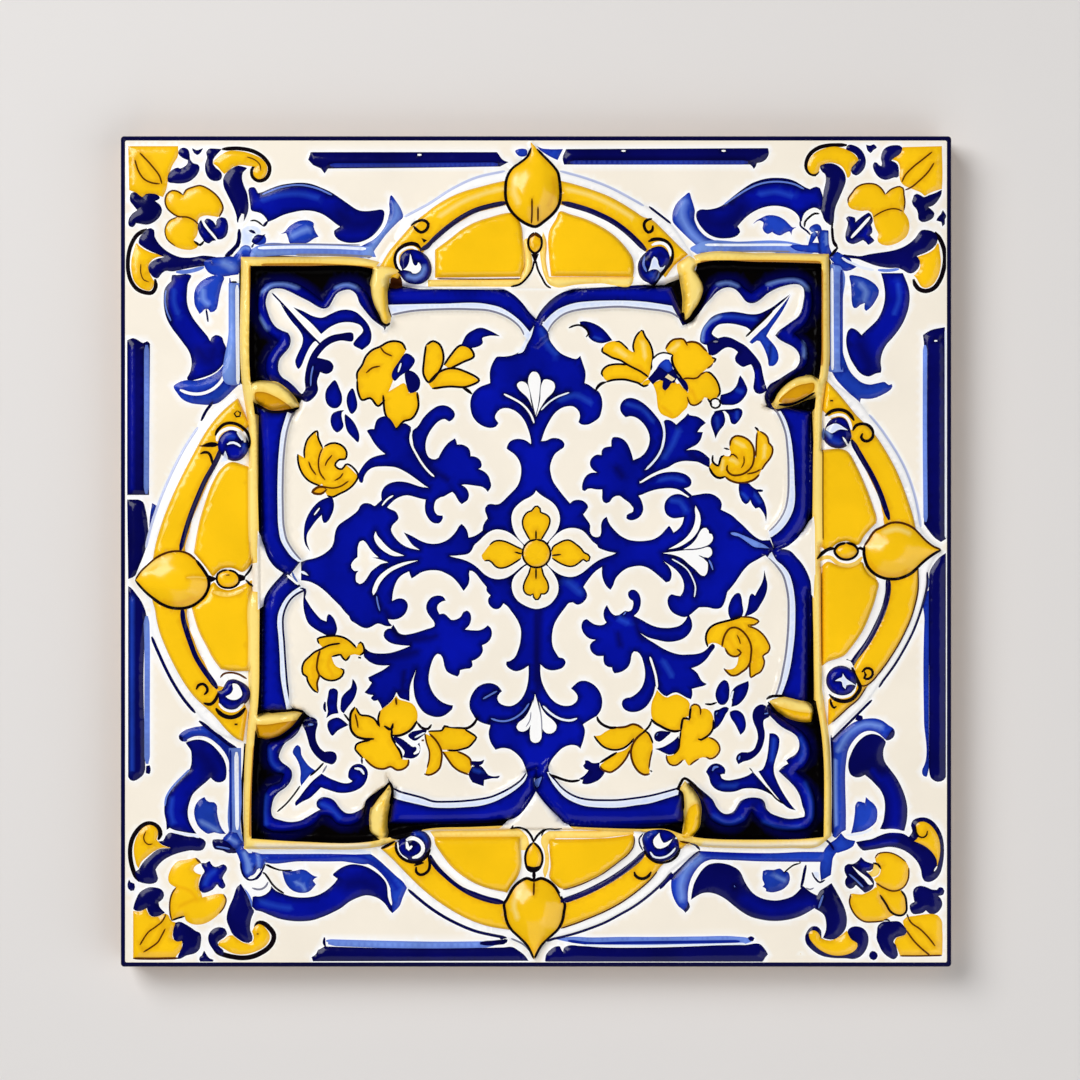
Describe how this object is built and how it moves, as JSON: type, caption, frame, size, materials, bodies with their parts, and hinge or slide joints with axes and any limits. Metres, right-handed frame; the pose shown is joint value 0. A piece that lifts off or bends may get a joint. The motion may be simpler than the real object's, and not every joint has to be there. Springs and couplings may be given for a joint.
{
  "type": "azulejo tile",
  "caption": "Square glazed relief tile with a framed floral cartouche, arched lunettes and scrolls in blue, yellow and white, for lining walls.",
  "frame": {"origin": "middle of the tile's back", "axes": "+Z out of the glazed face, +Y to the top of the pattern, +X to its right"},
  "size_m": [0.15, 0.15, 0.0106],
  "materials": {
    "glaze": "gloss"
  },
  "bodies": {
    "root": {"azulejo_tile": "glaze"}
  },
  "joints": []
}
